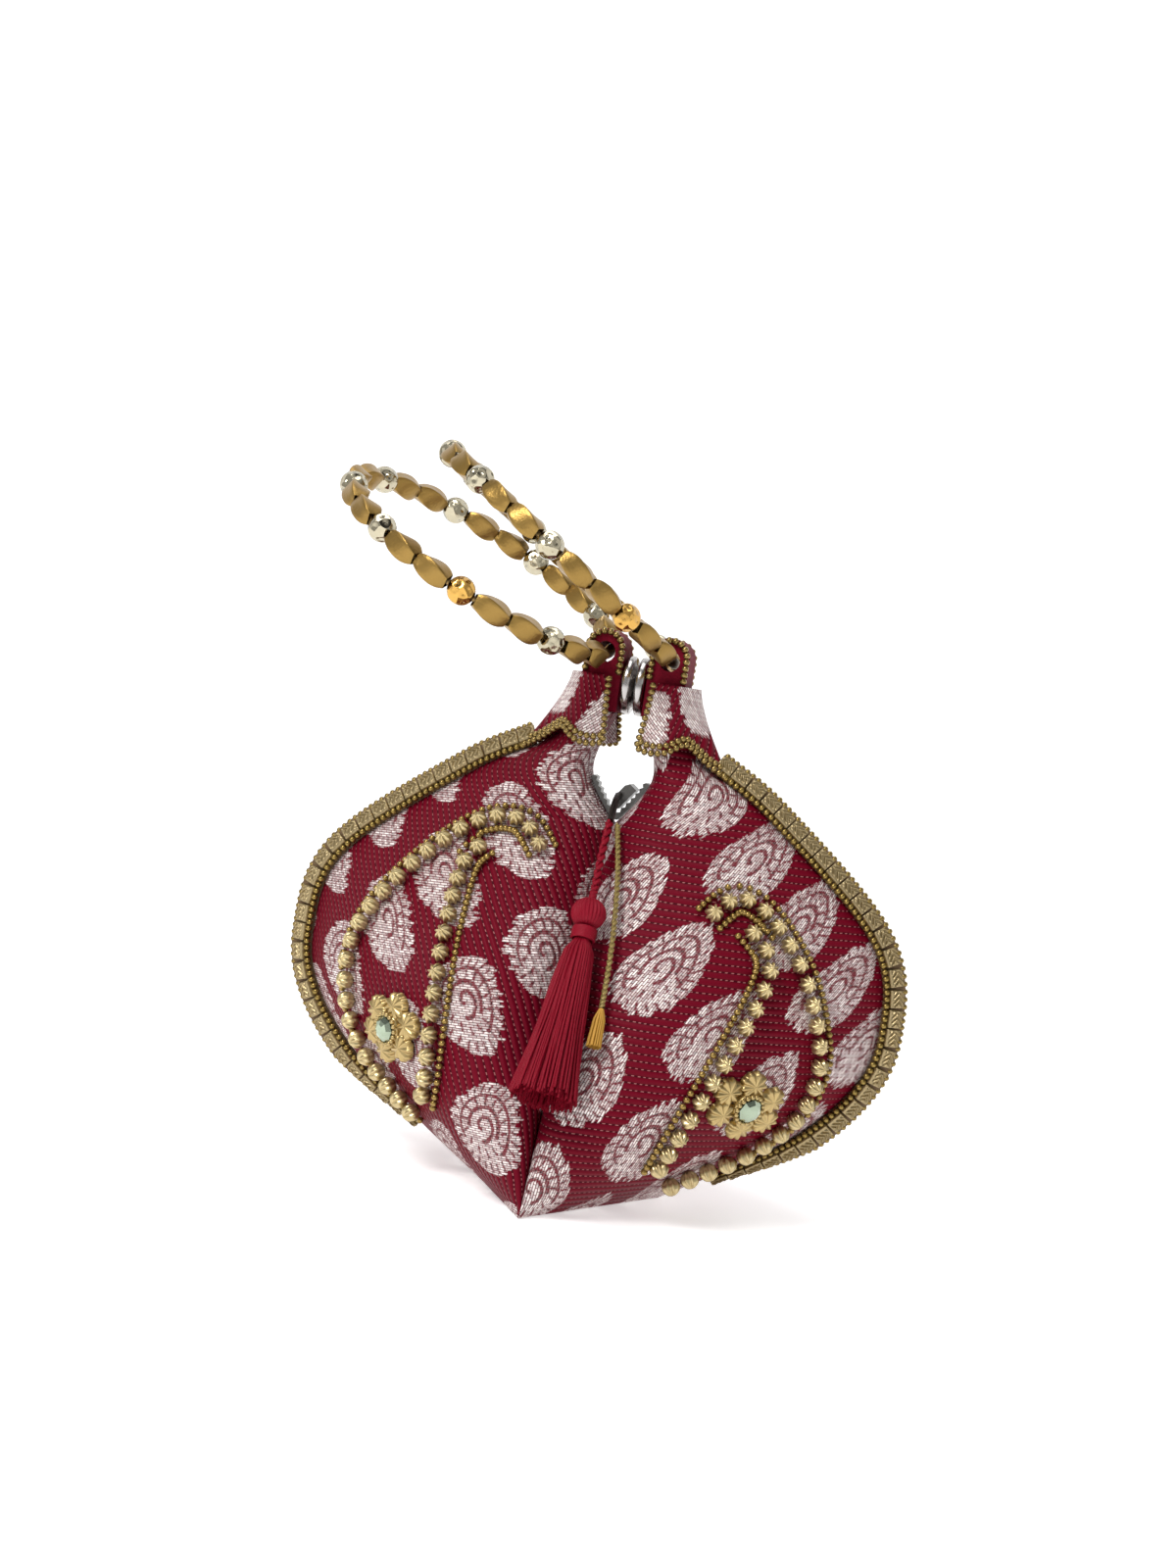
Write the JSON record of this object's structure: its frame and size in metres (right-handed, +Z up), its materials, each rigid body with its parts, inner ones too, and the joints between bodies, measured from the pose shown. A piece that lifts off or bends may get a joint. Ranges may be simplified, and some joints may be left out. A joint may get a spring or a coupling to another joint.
{
  "type": "clutch bag",
  "caption": "Twin-lobed brocade clutch bag with bead ring handles, magnetic neck snap, beaded trim and a zip with a tassel pull.",
  "frame": {"origin": "middle of the flat base", "axes": "+Z up, +X to the viewer's right, -Y out of the beaded front"},
  "size_m": [0.194, 0.1323, 0.2198],
  "materials": {
    "brocade": "woven brocade",
    "cast_trim": "antique",
    "gold_bead": "metallised",
    "oval_bead": "matte gold",
    "round_bead": "metallised",
    "stone": "faceted",
    "snap_metal": "polished",
    "zip_metal": "satin",
    "red_thread": "silky thread",
    "gold_thread": "metallic thread"
  },
  "bodies": {
    "bag": {"bag_body": "brocade", "left_edge_trim": "cast_trim", "right_edge_trim": "cast_trim", "left_bead_row_1": "gold_bead", "left_bead_row_2": "gold_bead", "right_bead_row_1": "gold_bead", "right_bead_row_2": "gold_bead", "left_flower": "cast_trim", "right_flower": "cast_trim", "left_stone": "stone", "right_stone": "stone", "left_neck": "brocade", "right_neck": "brocade", "left_collar": "brocade", "right_collar": "brocade", "left_magnet": "snap_metal", "right_magnet": "snap_metal", "zip_chain": "zip_metal"},
    "left_handle": {"left_handle_strand": "oval_bead", "left_round_bead_1": "round_bead", "left_round_bead_2": "round_bead", "left_round_bead_3": "round_bead", "left_round_bead_4": "round_bead", "left_round_bead_5": "round_bead", "left_round_bead_6": "round_bead", "left_round_bead_7": "round_bead", "left_round_bead_8": "round_bead"},
    "right_handle": {"right_handle_strand": "oval_bead", "right_round_bead_1": "round_bead", "right_round_bead_2": "round_bead", "right_round_bead_3": "round_bead", "right_round_bead_4": "round_bead", "right_round_bead_5": "round_bead", "right_round_bead_6": "round_bead", "right_round_bead_7": "round_bead", "right_round_bead_8": "round_bead"},
    "slider": {"zip_slider": "zip_metal"},
    "tassel": {"zip_pull": "zip_metal", "tassel_cord": "red_thread", "tassel_head": "red_thread", "tassel_binding": "red_thread", "tassel_skirt": "red_thread", "gold_cord": "gold_thread", "gold_tuft": "gold_thread"}
  },
  "joints": [
    {"name": "left_handle_swing", "type": "hinge", "parent": "bag", "child": "left_handle", "pos_m": [-0.01, 0, 0.164], "axis": [0, 0.9848, 0.1736], "range_deg": [-50, 0]},
    {"name": "right_handle_swing", "type": "hinge", "parent": "bag", "child": "right_handle", "pos_m": [0.01, 0, 0.164], "axis": [0, 0.9962, -0.0872], "range_deg": [0, 105]},
    {"name": "zip_travel", "type": "slide", "parent": "bag", "child": "slider", "axis": [0.53, 0, 0.848], "range_m": [0, 0.008]},
    {"name": "pull_swing", "type": "hinge", "parent": "slider", "child": "tassel", "pos_m": [0.0005, -0.0047, 0.1215], "axis": [-1, 0, 0], "range_deg": [0, 60]}
  ]
}
